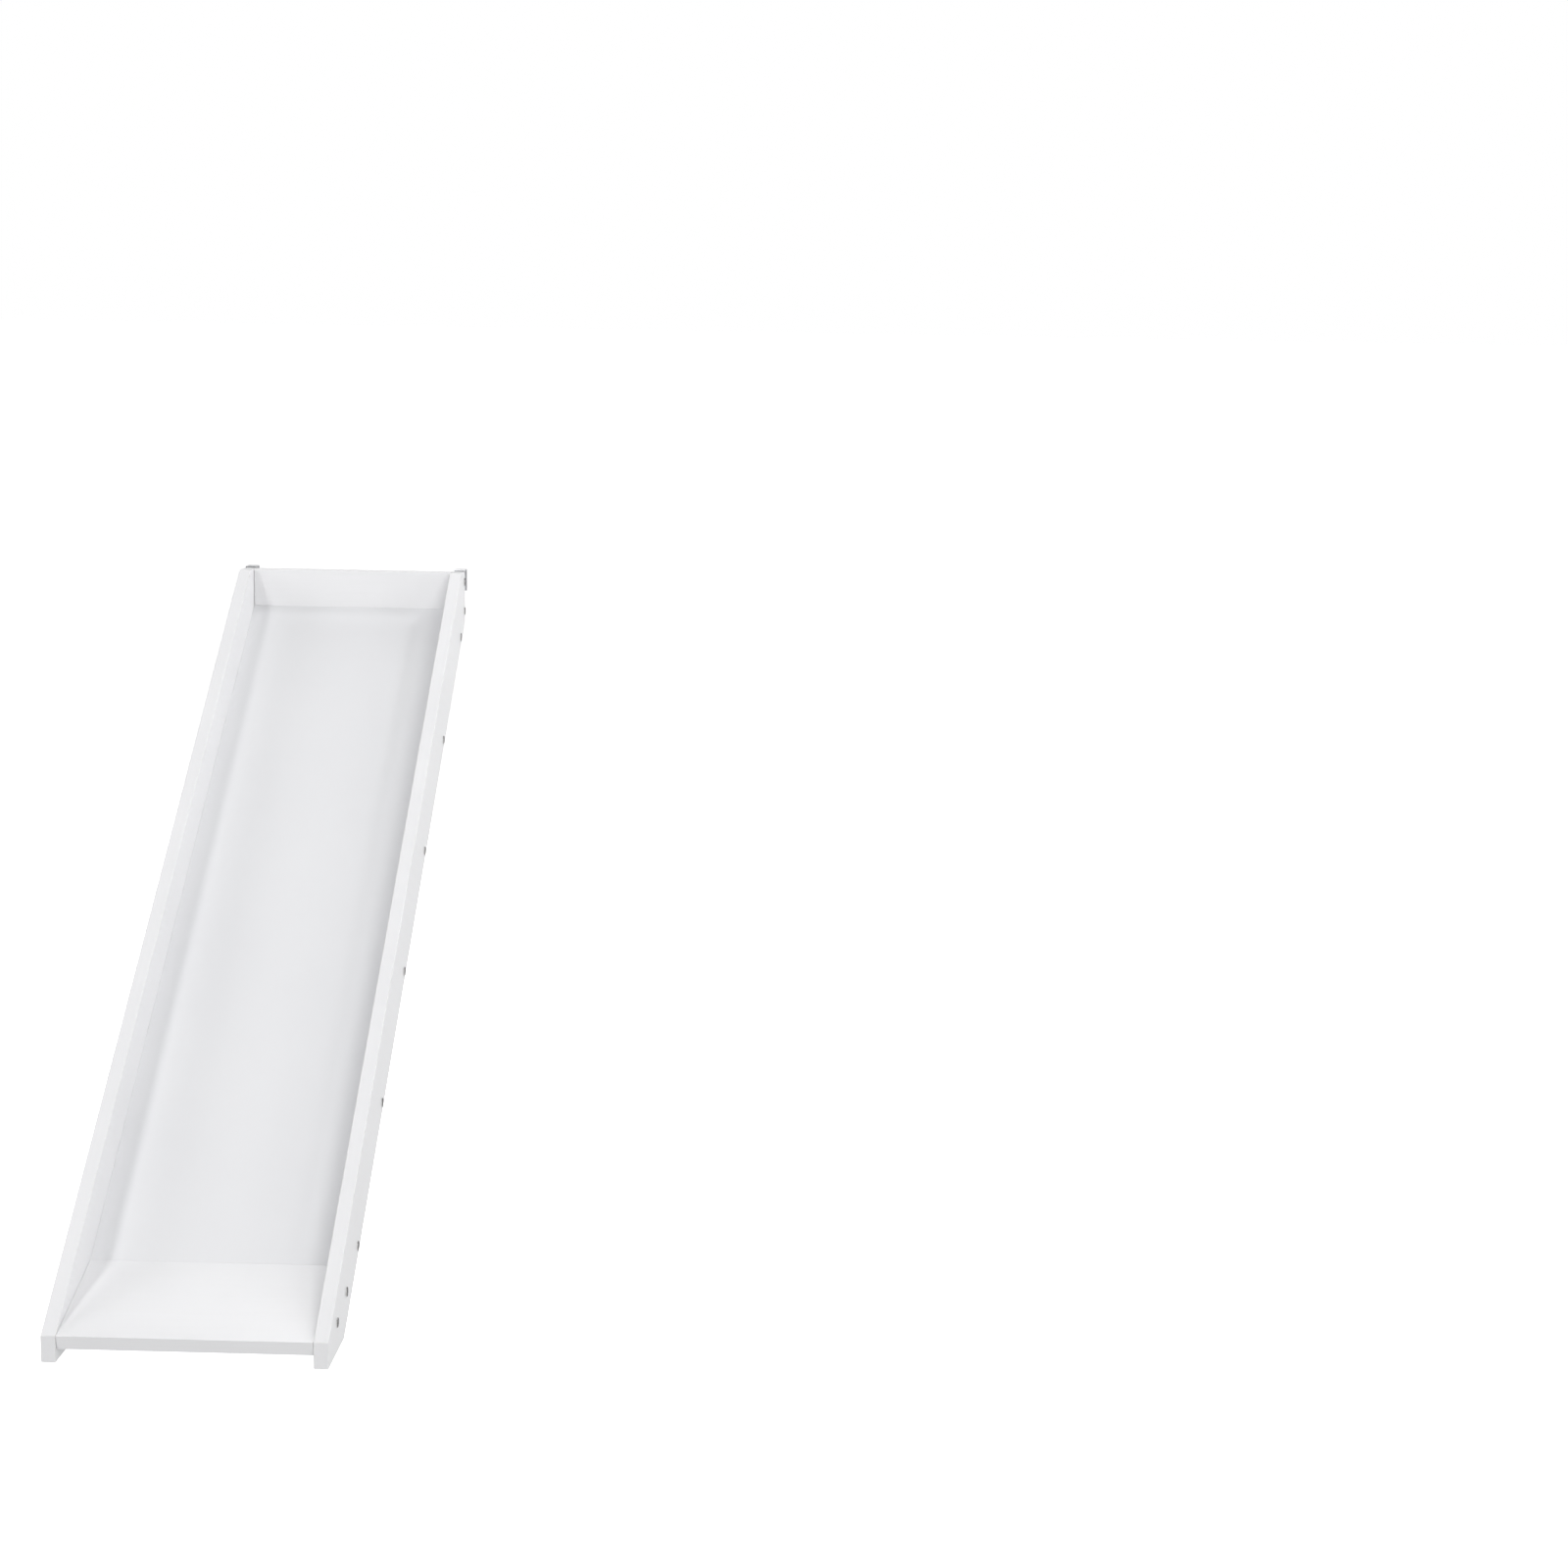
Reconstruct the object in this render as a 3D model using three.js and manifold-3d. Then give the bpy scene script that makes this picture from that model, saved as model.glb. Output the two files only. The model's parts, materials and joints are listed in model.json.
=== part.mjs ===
// A straight wooden slide for the side of a low loft bed, in millimetres.
// Two side rails hold a thin sliding panel in grooves, six battens under it, a landing board at
// the foot and a head board at the top. Bolts and barrel nuts pull the boards against the rails,
// and two steel hooks hang the top end on the bed's side rail.
// +X is to the right seen from the foot, +Y runs back towards the bed and +Z is up.
// The origin is on the floor, at the centre of the overall box.
import * as THREE from "three";
import { mergeVertices } from "three/addons/utils/BufferGeometryUtils.js";
import Module from "manifold-3d";

const wasm = await Module();
wasm.setup();

// ---- Driving dimensions ----
const SLOPE = THREE.MathUtils.degToRad(35.4);
const LANDING_SLOPE = THREE.MathUtils.degToRad(14.5);
const WIDTH = 342; // over both side rails
const BOARD = 18; // thickness of every solid board
const RAIL_DEPTH = 86; // side rail, square to the slope
const RUN = 1176; // foot's front face to the plumb ends of the rails
const TOP_HEIGHT = 841; // level cut on the rails, head board's top, bed rail's top
const FOOT_HEIGHT = 33; // plumb cut at the front of each foot
const PANEL_DEPTH = 58; // rail's top edge down to the sliding surface, square to the slope
const PANEL_THICKNESS = 4;
const GROOVE_DEPTH = 5; // how far the rails are grooved for the panel's edges
const BATTEN_COUNT = 6;
const BATTEN_WIDTH = 45;
const BATTEN_PITCH = 227.5;
const FIRST_BATTEN = 40; // panel's lower end to the lowest batten's centre line
const HEAD_BOARD_HEIGHT = 75;
const LANDING_BOLTS = [55, 120]; // from the landing board's front edge
const HEAD_BOLTS = [60, 15]; // down from the head board's top edge
const GAP = 0.3; // left between pieces that touch

const BOLT = {
  radius: 3,
  length: 60,
  tip: 0.7, // bevel at the shank's end
  headRadius: 6.5,
  headHeight: 1,
  rimWidth: 0.5,
  rimHeight: 0.3,
  socket: 4,
  socketDepth: 2.2,
};
const NUT = { radius: 5, length: 14, setback: 34, slotWidth: 1.2, slotDepth: 1.5 };
const HOOK = { width: 16, strip: 2, throat: 26, frontLeg: 55, backLeg: 34, bend: 3.5 };
const SCREW = { radius: 2, length: 30, tip: 4, taper: 8, headRadius: 4, headHeight: 2.2, drops: [29, 46] };
const HOLE_CLEARANCE = 0.5; // on the radius of every drilled hole
const ROUND_SIDES = 12;
const HOLE_SIDES = 12;

// ---- Sizes that follow ----
const INNER_WIDTH = WIDTH - 2 * BOARD;
const HOOK_REACH = GAP + 2 * HOOK.strip + HOOK.throat;
const FOOT_Y = -(RUN + HOOK_REACH) / 2;
const END_Y = FOOT_Y + RUN;
const SIDES = { left: -1, right: 1 };

// ---- Materials ----
const paintedPine = new THREE.MeshStandardMaterial({ color: 0xf1f1f2, roughness: 0.45, metalness: 0 });
const paintedPanel = new THREE.MeshStandardMaterial({ color: 0xeeeef1, roughness: 0.35, metalness: 0 });
const nickel = new THREE.MeshStandardMaterial({ color: 0xb4b3ae, roughness: 0.3, metalness: 1 });
const zinc = new THREE.MeshStandardMaterial({ color: 0xa3a5a8, roughness: 0.4, metalness: 1 });

// ---- Scene graph: one group for each slope that boards lie on ----
// In a group +Y runs up the board and +Z is square to its upper face.
const slide = new THREE.Group();

function slopedGroup(y, z, angle) {
  const group = new THREE.Group();
  group.position.set(0, y, z);
  group.rotation.x = angle;
  slide.add(group);
  group.updateMatrixWorld(true);
  return group;
}

const incline = slopedGroup(FOOT_Y, FOOT_HEIGHT, SLOPE); // origin at the rails' top edge over the foot
const landing = slopedGroup(FOOT_Y, FOOT_HEIGHT, LANDING_SLOPE);
const head = slopedGroup(END_Y - BOARD, TOP_HEIGHT, Math.PI / 2); // origin at its front top edge

function addPiece(group, name, geometry, material) {
  const mesh = new THREE.Mesh(geometry, material);
  mesh.name = name;
  group.add(mesh);
  return mesh;
}

// ---- Solids: boards, drills and cuts ----
// An outline in the YZ plane, extruded along X about x = middle.
function board(outline, width, middle = 0) {
  const shape = outline instanceof THREE.Shape ? outline : new THREE.Shape(outline);
  const geometry = new THREE.ExtrudeGeometry(shape, {
    depth: width,
    bevelEnabled: false,
    curveSegments: 4,
  });
  geometry.translate(0, 0, -width / 2);
  const [x, y, z] = [new THREE.Vector3(1, 0, 0), new THREE.Vector3(0, 1, 0), new THREE.Vector3(0, 0, 1)];
  geometry.applyMatrix4(new THREE.Matrix4().makeBasis(y, z, x));
  return geometry.translate(middle, 0, 0);
}

// A round drill along X from x = from to x = to.
function drillAcross(radius, from, to, y, z) {
  const drill = new THREE.CylinderGeometry(radius, radius, Math.abs(to - from), HOLE_SIDES);
  return drill.rotateZ(Math.PI / 2).translate((from + to) / 2, y, z);
}

function toSolid(geometry) {
  const positions = new THREE.BufferGeometry();
  positions.setAttribute("position", geometry.getAttribute("position"));
  positions.setIndex(geometry.index);
  const merged = mergeVertices(positions);
  const mesh = new wasm.Mesh({
    numProp: 3,
    vertProperties: merged.getAttribute("position").array,
    triVerts: new Uint32Array(merged.index.array),
  });
  return new wasm.Manifold(mesh);
}

function cut(blank, tools) {
  const solid = tools.reduce((rest, tool) => rest.subtract(toSolid(tool)), toSolid(blank));
  const { vertProperties, triVerts } = solid.getMesh();
  const geometry = new THREE.BufferGeometry();
  geometry.setAttribute("position", new THREE.BufferAttribute(vertProperties, 3));
  geometry.setIndex(new THREE.BufferAttribute(triVerts, 1));
  return geometry;
}

// ---- Fasteners ----
// A bolt along +Y: the head's underside is at y = 0 and the shank hangs below it.
function boltGeometry() {
  const { radius, length, tip, headRadius, headHeight, rimWidth, rimHeight, socket, socketDepth } = BOLT;
  const profile = [
    [0, -length],
    [radius - tip, -length],
    [radius, -length + tip],
    [radius, 0],
    [headRadius, 0],
    [headRadius, headHeight - rimHeight],
    [headRadius - rimWidth, headHeight],
    [0, headHeight],
  ];
  const blank = new THREE.LatheGeometry(profile.map(([r, y]) => new THREE.Vector2(r, y)), ROUND_SIDES);
  const cornerRadius = socket / 2 / Math.cos(Math.PI / 6);
  const key = new THREE.CylinderGeometry(cornerRadius, cornerRadius, 2 * socketDepth, 6);
  return cut(blank, [key.translate(0, headHeight, 0)]);
}

// A barrel nut along Z with its centre at the origin: the bolt crosses it along X, and the
// slot that lines it up is in its lower end.
function nutGeometry() {
  const { radius, length, slotWidth, slotDepth } = NUT;
  const barrel = new THREE.CylinderGeometry(radius, radius, length, ROUND_SIDES).rotateX(Math.PI / 2);
  const thread = drillAcross(BOLT.radius + HOLE_CLEARANCE, -2 * radius, 2 * radius, 0, 0);
  const slot = new THREE.BoxGeometry(slotWidth, 3 * radius, 2 * slotDepth).translate(0, 0, -length / 2);
  return cut(barrel, [thread, slot]);
}

// A countersunk wood screw along +Y, with its head's flat at y = 0 and its point below.
function screwGeometry() {
  const { radius, length, tip, taper, headRadius, headHeight } = SCREW;
  const profile = [
    [0, -length],
    [radius * 0.8, -length + tip],
    [radius, -length + taper],
    [radius, -headHeight],
    [headRadius, -0.2],
    [headRadius, 0],
    [0, 0],
  ];
  return new THREE.LatheGeometry(profile.map(([r, y]) => new THREE.Vector2(r, y)), ROUND_SIDES);
}

const boltShape = boltGeometry();
const nutShape = nutGeometry();
const screwShape = screwGeometry();

// ---- Cross boards: each spans between the rails and is bolted at both ends ----
// Every point where a bolt goes through the rails, in the frame of the board's group.
const fixings = [];

// Holes at both ends of a board: one along X for the bolt, one up from below for the barrel nut.
function endHoles({ y, z }) {
  const boltEnd = WIDTH / 2 - BOLT.length - 2;
  const nutX = INNER_WIDTH / 2 - NUT.setback;
  const pocketTop = z + NUT.length / 2 + GAP;
  const pocketDepth = NUT.length + BOARD;
  return Object.values(SIDES).flatMap((side) => {
    const boltHole = drillAcross(BOLT.radius + HOLE_CLEARANCE, side * boltEnd, side * WIDTH, y, z);
    const pocketRadius = NUT.radius + HOLE_CLEARANCE;
    const pocket = new THREE.CylinderGeometry(pocketRadius, pocketRadius, pocketDepth, HOLE_SIDES);
    pocket.rotateX(Math.PI / 2).translate(side * nutX, y, pocketTop - pocketDepth / 2);
    return [boltHole, pocket];
  });
}

function addFasteners(group, { name, y, z }) {
  for (const [sideName, side] of Object.entries(SIDES)) {
    const bolt = addPiece(group, `${name}_bolt_${sideName}`, boltShape, nickel);
    bolt.rotation.z = (-side * Math.PI) / 2;
    bolt.position.set(side * (WIDTH / 2 + GAP), y, z);
    const nut = addPiece(group, `${name}_nut_${sideName}`, nutShape, zinc);
    nut.position.set(side * (INNER_WIDTH / 2 - NUT.setback), y, z);
  }
}

function addCrossBoard(group, name, outline, points) {
  const blank = board(outline, INNER_WIDTH - 2 * GAP);
  addPiece(group, name, cut(blank, points.flatMap(endHoles)), paintedPine);
  for (const point of points) {
    fixings.push({ group, ...point });
    addFasteners(group, point);
  }
}

function corners(points) {
  return points.map(([y, z]) => new THREE.Vector2(y, z));
}

// The sliding surface meets the landing surface here, and both boards are mitred to fit.
const jointRun = PANEL_DEPTH / Math.cos(SLOPE) / (Math.tan(SLOPE) - Math.tan(LANDING_SLOPE));
const joint = incline.worldToLocal(
  new THREE.Vector3(0, FOOT_Y + jointRun, FOOT_HEIGHT + jointRun * Math.tan(LANDING_SLOPE)),
);
const mitre = Math.tan((SLOPE - LANDING_SLOPE) / 2);

function addLandingBoard() {
  const length = jointRun / Math.cos(LANDING_SLOPE) - GAP / 2;
  const outline = corners([
    [0, 0],
    [0, -BOARD],
    [length + BOARD * mitre, -BOARD],
    [length, 0],
  ]);
  const points = LANDING_BOLTS.map((y, i) => ({ name: `landing_${i + 1}`, y, z: -BOARD / 2 }));
  addCrossBoard(landing, "landing_board", outline, points);
}

function addBattens() {
  const top = -PANEL_DEPTH - PANEL_THICKNESS - GAP;
  for (let i = 0; i < BATTEN_COUNT; i++) {
    const middle = joint.y + FIRST_BATTEN + i * BATTEN_PITCH;
    const [low, high] = [middle - BATTEN_WIDTH / 2, middle + BATTEN_WIDTH / 2];
    const outline = corners([
      [low, top],
      [low, top - BOARD],
      [high, top - BOARD],
      [high, top],
    ]);
    const point = { name: `batten_${i + 1}`, y: middle, z: top - BOARD / 2 };
    addCrossBoard(incline, `batten_${i + 1}`, outline, [point]);
  }
}

function addHeadBoard() {
  const outline = corners([
    [0, 0],
    [-HEAD_BOARD_HEIGHT, 0],
    [-HEAD_BOARD_HEIGHT, -BOARD],
    [0, -BOARD],
  ]);
  const points = HEAD_BOLTS.map((drop, i) => ({ name: `head_${i + 1}`, y: -drop, z: -BOARD / 2 }));
  addCrossBoard(head, "head_board", outline, points);
}

// ---- Sliding panel: its lower end is mitred, its upper end is plumb against the head board ----
function plumbAt(y, z) {
  return (y - FOOT_Y + z * Math.sin(SLOPE)) / Math.cos(SLOPE);
}

function addSlidingPanel() {
  const [top, bottom] = [-PANEL_DEPTH, -PANEL_DEPTH - PANEL_THICKNESS];
  const lowEnd = joint.y + GAP / 2;
  const headFace = END_Y - BOARD - GAP;
  const outline = corners([
    [lowEnd, top],
    [lowEnd - PANEL_THICKNESS * mitre, bottom],
    [plumbAt(headFace, bottom), bottom],
    [plumbAt(headFace, top), top],
  ]);
  const width = INNER_WIDTH + 2 * (GROOVE_DEPTH - HOLE_CLEARANCE);
  addPiece(incline, "sliding_panel", board(outline, width), paintedPanel);
}

// ---- Side rails: plumb and level cuts at the top, plumb and floor cuts at the foot ----
const railDrop = RAIL_DEPTH / Math.cos(SLOPE);
const railOutline = corners([
  [FOOT_Y, 0],
  [FOOT_Y + (railDrop - FOOT_HEIGHT) / Math.tan(SLOPE), 0],
  [END_Y, FOOT_HEIGHT + RUN * Math.tan(SLOPE) - railDrop],
  [END_Y, TOP_HEIGHT],
  [FOOT_Y + (TOP_HEIGHT - FOOT_HEIGHT) / Math.tan(SLOPE), TOP_HEIGHT],
  [FOOT_Y, FOOT_HEIGHT],
]);

// The groove runs out at the rail's top end, so that the panel can be slid in from there.
function panelGroove(side) {
  const length = 2 * RUN;
  const height = PANEL_THICKNESS + 2 * GAP;
  const groove = new THREE.BoxGeometry(2 * GROOVE_DEPTH, length, height);
  const lowEnd = joint.y - PANEL_THICKNESS * mitre - GAP;
  groove.translate((side * INNER_WIDTH) / 2, lowEnd + length / 2, -PANEL_DEPTH - PANEL_THICKNESS / 2);
  return groove.applyMatrix4(incline.matrixWorld);
}

function railHole(side, { group, y, z }) {
  const place = group.localToWorld(new THREE.Vector3(0, y, z));
  const reach = [side * (INNER_WIDTH / 2 - BOARD), side * (WIDTH / 2 + BOARD)];
  return drillAcross(BOLT.radius + HOLE_CLEARANCE, ...reach, place.y, place.z);
}

// A pilot hole in the rail's end grain for one of the hook's screws.
function screwHole(side, drop) {
  const radius = SCREW.radius + HOLE_CLEARANCE;
  const hole = new THREE.CylinderGeometry(radius, radius, 2 * SCREW.length, HOLE_SIDES);
  return hole.translate(screwX(side), END_Y, TOP_HEIGHT - drop);
}

function screwX(side) {
  return (side * (WIDTH - BOARD)) / 2;
}

function addSideRails() {
  for (const [sideName, side] of Object.entries(SIDES)) {
    const blank = board(railOutline, BOARD, (side * (INNER_WIDTH + BOARD)) / 2);
    const boltHoles = fixings.map((fixing) => railHole(side, fixing));
    const screwHoles = SCREW.drops.map((drop) => screwHole(side, drop));
    const geometry = cut(blank, [panelGroove(side), ...boltHoles, ...screwHoles]);
    addPiece(slide, `side_rail_${sideName}`, geometry, paintedPine);
  }
}

// ---- Hooks: a bent steel strip on each rail's end, over the top of the bed's side rail ----
function hookOutline() {
  const { strip, throat, frontLeg, backLeg, bend } = HOOK;
  const front = END_Y + GAP;
  const back = front + 2 * strip + throat;
  const top = TOP_HEIGHT + strip;
  const inner = bend - strip;
  const outline = new THREE.Shape();
  outline.moveTo(front, top - frontLeg);
  outline.lineTo(front + strip, top - frontLeg);
  outline.lineTo(front + strip, top - bend);
  outline.absarc(front + bend, top - bend, inner, Math.PI, Math.PI / 2, true);
  outline.absarc(back - bend, top - bend, inner, Math.PI / 2, 0, true);
  outline.lineTo(back - strip, top - backLeg);
  outline.lineTo(back, top - backLeg);
  outline.absarc(back - bend, top - bend, bend, 0, Math.PI / 2, false);
  outline.absarc(front + bend, top - bend, bend, Math.PI / 2, Math.PI, false);
  return outline;
}

// The countersink in the hook's front leg, a little larger than the screw's head and shank.
function countersink(side, drop) {
  const radius = SCREW.radius + HOLE_CLEARANCE;
  const headRadius = SCREW.headRadius + HOLE_CLEARANCE;
  const length = HOOK.strip + GAP;
  const cone = new THREE.CylinderGeometry(headRadius, radius, length, HOLE_SIDES);
  const place = [screwX(side), END_Y + GAP + HOOK.strip - length / 2 + 0.01, TOP_HEIGHT - drop];
  return cone.translate(...place);
}

function addHooks() {
  for (const [sideName, side] of Object.entries(SIDES)) {
    const blank = board(hookOutline(), HOOK.width, screwX(side));
    const geometry = cut(blank, SCREW.drops.map((drop) => countersink(side, drop)));
    addPiece(slide, `hook_${sideName}`, geometry, zinc);
    SCREW.drops.forEach((drop, i) => {
      const screw = addPiece(slide, `hook_screw_${sideName}_${i + 1}`, screwShape, zinc);
      screw.position.set(screwX(side), END_Y + GAP + HOOK.strip, TOP_HEIGHT - drop);
    });
  }
}

addLandingBoard();
addBattens();
addHeadBoard();
addSlidingPanel();
addSideRails();
addHooks();

export default slide;
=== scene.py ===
"""The looks of a straight wooden slide for a low loft bed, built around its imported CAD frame.

Every board, bolt and hook is modelled again here with rounded edges, drilled holes and bends.
It stands where the frame's own node stands. Lengths are in metres.
"""

import json
import math

import bmesh
import bpy
from mathutils import Matrix, Vector

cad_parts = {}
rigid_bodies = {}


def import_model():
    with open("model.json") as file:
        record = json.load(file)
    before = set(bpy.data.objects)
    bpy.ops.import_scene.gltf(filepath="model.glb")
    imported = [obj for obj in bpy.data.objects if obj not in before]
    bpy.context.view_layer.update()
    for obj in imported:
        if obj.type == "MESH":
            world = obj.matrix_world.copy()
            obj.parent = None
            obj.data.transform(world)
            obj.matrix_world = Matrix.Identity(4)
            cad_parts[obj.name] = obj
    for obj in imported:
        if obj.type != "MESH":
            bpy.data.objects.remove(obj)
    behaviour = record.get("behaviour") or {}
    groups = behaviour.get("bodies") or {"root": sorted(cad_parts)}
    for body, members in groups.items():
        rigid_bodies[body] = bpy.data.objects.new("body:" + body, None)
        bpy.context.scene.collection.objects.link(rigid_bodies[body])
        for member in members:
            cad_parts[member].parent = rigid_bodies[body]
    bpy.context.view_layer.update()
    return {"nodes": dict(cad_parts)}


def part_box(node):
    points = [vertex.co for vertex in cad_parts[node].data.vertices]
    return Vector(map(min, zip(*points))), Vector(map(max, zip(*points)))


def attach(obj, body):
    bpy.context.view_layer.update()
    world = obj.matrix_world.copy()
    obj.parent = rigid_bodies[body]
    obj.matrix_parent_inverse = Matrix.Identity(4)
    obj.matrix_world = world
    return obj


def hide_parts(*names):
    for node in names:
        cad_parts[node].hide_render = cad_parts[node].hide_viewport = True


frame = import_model()
scene = bpy.context.scene

# ---- Sizes that the frame's boxes don't give ----
RAIL_DEPTH = 0.086
FOOT_HEIGHT = 0.033
PANEL_DEPTH = 0.058
PANEL_THICKNESS = 0.004
GROOVE_DEPTH = 0.005
BATTEN_COUNT = 6
BATTEN_WIDTH = 0.045
GAP = 0.0003
HOLE_CLEARANCE = 0.0005
HOLE_PAST_BOLT = 0.002

BOLT_RADIUS = 0.003
BOLT_LENGTH = 0.060
BOLT_TIP = 0.0007
HEAD_RADIUS = 0.0065
HEAD_HEIGHT = 0.001
RIM_WIDTH = 0.0005
RIM_HEIGHT = 0.0003
SOCKET_WIDTH = 0.004
SOCKET_DEPTH = 0.0022
NUT_RADIUS = 0.005
NUT_LENGTH = 0.014
NUT_SETBACK = 0.034
NUT_SLOT = 0.0012
NUT_SLOT_DEPTH = 0.0015
HOOK_STRIP = 0.002
HOOK_FRONT_LEG = 0.055
HOOK_BACK_LEG = 0.034
HOOK_BEND = 0.0035
SCREW_RADIUS = 0.002
SCREW_LENGTH = 0.030
SCREW_TIP = 0.004
SCREW_TAPER = 0.008
SCREW_HEAD_RADIUS = 0.004
SCREW_HEAD_HEIGHT = 0.0022

BOARD_ROUNDING = 0.0012
JOINT_ROUNDING = 0.00015
JOINT_GAP = 0.0001
STEEL_ROUNDING = 0.0004
SHARP_ANGLE = 35
GRAIN_SHIFT = 0.37
FLAT_FACING = 0.999

# Each bolt and screw is turned further round than the one before, in radians.
BOLT_TURN = 1.3
FIRST_SCREW_TURN = 0.5
SCREW_TURN = 0.9

FLOOR_HALF_WIDTH = 400
FLOOR_GLOW = 0.92
WORLD_BELOW = 0.75
WORLD_AT_EYE_LEVEL = 1.0
WORLD_ABOVE = 0.15
SOFTBOX_DISTANCE = 3.2

# The camera's lens and sensor in millimetres, its place in metres and its turns in degrees.
LENS_LENGTH = 64.5
SENSOR_WIDTH = 36
CAMERA_RIGHT = 0.770
CAMERA_IN_FRONT = 3.145
CAMERA_HEIGHT = 1.226
CAMERA_TURN_LEFT = 1.336
CAMERA_LOOK_DOWN = 9.288
CAMERA_TILT = 0.966

SIDES = {"left": -1, "right": 1}


# ---- Places read from the frame ----
def centre(node):
    low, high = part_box(node)
    return (low + high) / 2


def slope_between(lower_node, upper_node):
    step = centre(upper_node) - centre(lower_node)
    return math.atan2(step.z, step.y)


def sloped_frame(y, z, angle):
    """A frame with +Y up the board and +Z square to its upper face."""
    return Matrix.Translation((0, y, z)) @ Matrix.Rotation(angle, 4, "X")


rail_low, rail_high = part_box("side_rail_right")
BOARD = rail_high.x - rail_low.x
INNER_HALF = rail_low.x
OUTER_HALF = rail_high.x
foot_y = rail_low.y
end_y = rail_high.y
top_z = rail_high.z

slope = slope_between("batten_1", "batten_6")
landing_slope = slope_between("landing_1_bolt_left", "landing_2_bolt_left")
incline = sloped_frame(foot_y, FOOT_HEIGHT, slope)
landing = sloped_frame(foot_y, FOOT_HEIGHT, landing_slope)
upright = Matrix.Identity(4)

joint_run = PANEL_DEPTH / math.cos(slope) / (math.tan(slope) - math.tan(landing_slope))
joint_height = FOOT_HEIGHT + joint_run * math.tan(landing_slope)
joint = incline.inverted() @ Vector((0, foot_y + joint_run, joint_height))
mitre = math.tan((slope - landing_slope) / 2)


def node_in(board_frame, node):
    return board_frame.inverted() @ centre(node)


# ---- Materials ----
def new_material(name):
    material = bpy.data.materials.new(name)
    material.use_nodes = True
    tree = material.node_tree
    return material, tree, tree.nodes["Principled BSDF"]


def board_position(tree, stretch=(1, 1, 1)):
    """Where a point is on its own board: X runs along the grain, in metres, times stretch."""
    place = tree.nodes.new("ShaderNodeAttribute")
    place.attribute_name = "board_position"
    mapping = tree.nodes.new("ShaderNodeMapping")
    mapping.inputs["Scale"].default_value = stretch
    tree.links.new(place.outputs["Vector"], mapping.inputs["Vector"])
    return mapping.outputs["Vector"]


def wear_and_painted_light_mask(tree):
    """Reads the wear_and_painted_light mask that mark_wear_and_painted_light stored on each face: 1
    where its test held, and 0 elsewhere. On boards it marks rubbed edges, which are wear; on bolts
    it marks where painted reflection and painted shade go.
    """
    mark = tree.nodes.new("ShaderNodeAttribute")
    mark.attribute_name = "wear_and_painted_light"
    return mark.outputs["Fac"]


def noise(tree, place, scale, detail=2.0, roughness=0.5):
    texture = tree.nodes.new("ShaderNodeTexNoise")
    texture.inputs["Scale"].default_value = scale
    texture.inputs["Detail"].default_value = detail
    texture.inputs["Roughness"].default_value = roughness
    tree.links.new(place, texture.inputs["Vector"])
    return texture.outputs["Fac"]


def remap(tree, value, low, high, from_low=0.3, from_high=0.7):
    node = tree.nodes.new("ShaderNodeMapRange")
    tree.links.new(value, node.inputs["Value"])
    node.inputs["From Min"].default_value = from_low
    node.inputs["From Max"].default_value = from_high
    node.inputs["To Min"].default_value = low
    node.inputs["To Max"].default_value = high
    return node.outputs["Result"]


def combine(tree, operation, first, second):
    node = tree.nodes.new("ShaderNodeMath")
    node.operation = operation
    for socket, value in zip(node.inputs, (first, second)):
        if isinstance(value, bpy.types.NodeSocket):
            tree.links.new(value, socket)
        else:
            socket.default_value = value
    return node.outputs["Value"]


def blend_colours(tree, share, first, second):
    """A mix of two colours, which a mix node takes at inputs 6 and 7 and gives at output 2."""
    node = tree.nodes.new("ShaderNodeMix")
    node.data_type = "RGBA"
    tree.links.new(share, node.inputs["Factor"])
    for socket, value in zip((node.inputs[6], node.inputs[7]), (first, second)):
        if isinstance(value, bpy.types.NodeSocket):
            tree.links.new(value, socket)
        else:
            socket.default_value = (*value, 1.0)
    return node.outputs[2]


def add_bump(tree, shader, layers):
    """Stacks bump nodes: each layer is (height, real height in metres)."""
    normal = None
    for height, distance in layers:
        bump = tree.nodes.new("ShaderNodeBump")
        bump.inputs["Distance"].default_value = distance
        tree.links.new(height, bump.inputs["Height"])
        if normal is not None:
            tree.links.new(normal, bump.inputs["Normal"])
        normal = bump.outputs["Normal"]
    tree.links.new(normal, shader.inputs["Normal"])


def painted_pine():
    """White satin paint on pine: the grain shows as faint relief, and edges are rubbed thinner."""
    material, tree, shader = new_material("painted_pine")
    cloud = noise(tree, board_position(tree), 9.0, detail=3.0)
    streaks = noise(tree, board_position(tree, (6, 260, 260)), 1.0, detail=4.0, roughness=0.6)
    pores = noise(tree, board_position(tree, (40, 1600, 1600)), 1.0, detail=2.0)
    roller = noise(tree, board_position(tree), 850.0, detail=1.0)

    body = blend_colours(
        tree, remap(tree, cloud, 0, 1), (0.722, 0.724, 0.737), (0.744, 0.745, 0.756)
    )
    grained = blend_colours(tree, remap(tree, streaks, 0, 0.35), body, (0.714, 0.712, 0.718))
    rubbed = combine(tree, "MULTIPLY", wear_and_painted_light_mask(tree), remap(tree, streaks, 0, 0.3))
    colour = blend_colours(tree, rubbed, grained, (0.694, 0.680, 0.652))

    tree.links.new(colour, shader.inputs["Base Color"])
    tree.links.new(remap(tree, cloud, 0.38, 0.48), shader.inputs["Roughness"])
    add_bump(tree, shader, [(streaks, 0.00006), (pores, 0.00002), (roller, 0.00001)])
    return material


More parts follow.
